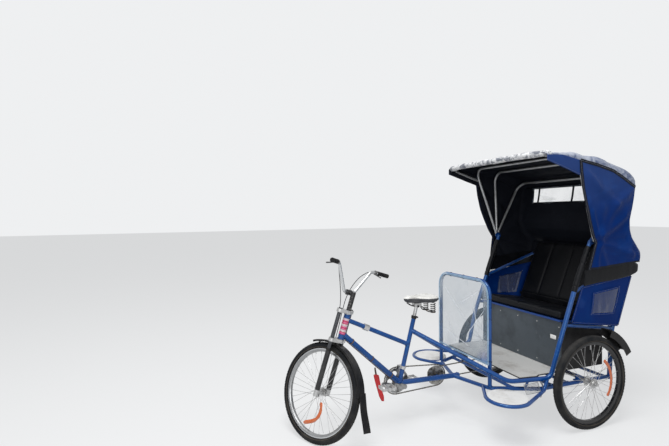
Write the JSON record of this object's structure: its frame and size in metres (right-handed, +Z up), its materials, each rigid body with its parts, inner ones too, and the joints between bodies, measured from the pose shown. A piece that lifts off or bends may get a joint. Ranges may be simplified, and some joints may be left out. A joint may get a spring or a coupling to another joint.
{
  "type": "cycle rickshaw",
  "caption": "Cycle rickshaw: rider's saddle and bars in front, passenger bench behind under a folding hood, with guard hoop, clear screen and round steps.",
  "frame": {"origin": "on the ground, under the middle of the vehicle's length as it stands", "axes": "+Z up, the vehicle faces -Y, +X is its left side"},
  "size_m": [1.2486, 2.5906, 1.963],
  "materials": {
    "blue_paint": "gloss enamel, chipped",
    "black_paint": "semi-gloss black",
    "silver_metal": "zinc plated, dull",
    "chrome": "chromed",
    "chain_steel": "oiled",
    "tyre_rubber": "worn",
    "black_rubber": "matt",
    "grey_bow": "galvanised",
    "saddle_vinyl": "scuffed",
    "lever_metal": "cast",
    "hood_vinyl": "coated cloth",
    "black_vinyl": "coated cloth",
    "clear_sheet": "clear flexible sheet",
    "seat_sheet": "plain sheet",
    "board_wood": "plywood",
    "floor_sheet": "worn sheet"
  },
  "bodies": {
    "chassis": {"front_frame": "blue_paint", "seat_post": "silver_metal", "saddle": "saddle_vinyl", "tube_clamp": "silver_metal", "chain_guide": "silver_metal", "frame_cable": "black_rubber", "front_chain": "chain_steel", "rear_chain": "chain_steel", "lower_frame": "blue_paint", "axle_bearings": "blue_paint", "main_rails": "blue_paint", "rear_hoop": "blue_paint", "floor_pan": "floor_sheet", "floor_sheet": "floor_sheet", "side_rails": "blue_paint", "seat_front_panel": "seat_sheet", "seat_box_sides": "seat_sheet", "seat_board": "board_wood", "seat_cushion": "black_vinyl", "seat_back": "black_vinyl", "guard_hoop": "blue_paint", "guard_screen": "clear_sheet", "step_tubes": "blue_paint", "step_discs": "floor_sheet", "rear_mudguards": "black_paint", "side_panels": "hood_vinyl", "side_pockets": "clear_sheet", "arm_bands": "black_vinyl", "hood_struts": "blue_paint", "hood_bows": "grey_bow", "hood_cover": "hood_vinyl", "hood_window": "clear_sheet"},
    "steering": {"fork_legs": "black_paint", "fork_crowns": "silver_metal", "front_fender": "black_paint", "front_flap": "black_rubber", "stem": "silver_metal", "handlebar": "chrome", "grips": "black_rubber", "brake_levers": "lever_metal", "brake_cables": "black_rubber"},
    "front_wheel": {"front_tyre": "tyre_rubber", "front_rim": "chrome", "front_spokes": "silver_metal"},
    "rear_left_wheel": {"rear_left_tyre": "tyre_rubber", "rear_left_rim": "black_paint", "rear_left_spokes": "silver_metal", "rear_left_shaft": "silver_metal"},
    "rear_right_wheel": {"rear_right_tyre": "tyre_rubber", "rear_right_rim": "black_paint", "rear_right_spokes": "silver_metal", "rear_right_shaft": "silver_metal"},
    "crank": {"crankset": "chrome"},
    "left_pedal": {"left_pedal": "silver_metal"},
    "right_pedal": {"right_pedal": "silver_metal"},
    "jackshaft": {"jackshaft": "silver_metal"},
    "differential": {"differential": "silver_metal"}
  },
  "joints": [
    {"name": "steer", "type": "hinge", "parent": "chassis", "child": "steering", "pos_m": [0, -1.07793, 0.31535], "axis": [0, 0.309, 0.9511], "range_deg": [0, 122]},
    {"name": "front_wheel_spin", "type": "hinge", "parent": "steering", "child": "front_wheel", "pos_m": [-0.03936, -1.09867, 0.32209], "axis": [0.4848, -0.8318, 0.2703], "continuous": true},
    {"name": "rear_left_wheel_spin", "type": "hinge", "parent": "chassis", "child": "rear_left_wheel", "pos_m": [0.535, 0.73428, 0.3335], "axis": [1, 0, 0], "continuous": true},
    {"name": "rear_right_wheel_spin", "type": "hinge", "parent": "chassis", "child": "rear_right_wheel", "pos_m": [-0.535, 0.73428, 0.3335], "axis": [1, 0, 0], "continuous": true},
    {"name": "crank_spin", "type": "hinge", "parent": "chassis", "child": "crank", "pos_m": [0, -0.50272, 0.315], "axis": [1, 0, 0], "continuous": true},
    {"name": "left_pedal_spin", "type": "hinge", "parent": "crank", "child": "left_pedal", "pos_m": [0.138, -0.67031, 0.35369], "axis": [1, 0, 0], "continuous": true},
    {"name": "right_pedal_spin", "type": "hinge", "parent": "crank", "child": "right_pedal", "pos_m": [-0.138, -0.33513, 0.27631], "axis": [1, 0, 0], "continuous": true},
    {"name": "jackshaft_spin", "type": "hinge", "parent": "chassis", "child": "jackshaft", "pos_m": [-0.045, -0.16572, 0.31], "axis": [1, 0, 0], "continuous": true},
    {"name": "differential_spin", "type": "hinge", "parent": "chassis", "child": "differential", "pos_m": [0, 0.73428, 0.3335], "axis": [1, 0, 0], "continuous": true}
  ],
  "couplings": [
    {"joint": "jackshaft_spin", "follows": "crank_spin", "ratio": 1.25},
    {"joint": "differential_spin", "follows": "crank_spin", "ratio": 1.125}
  ]
}
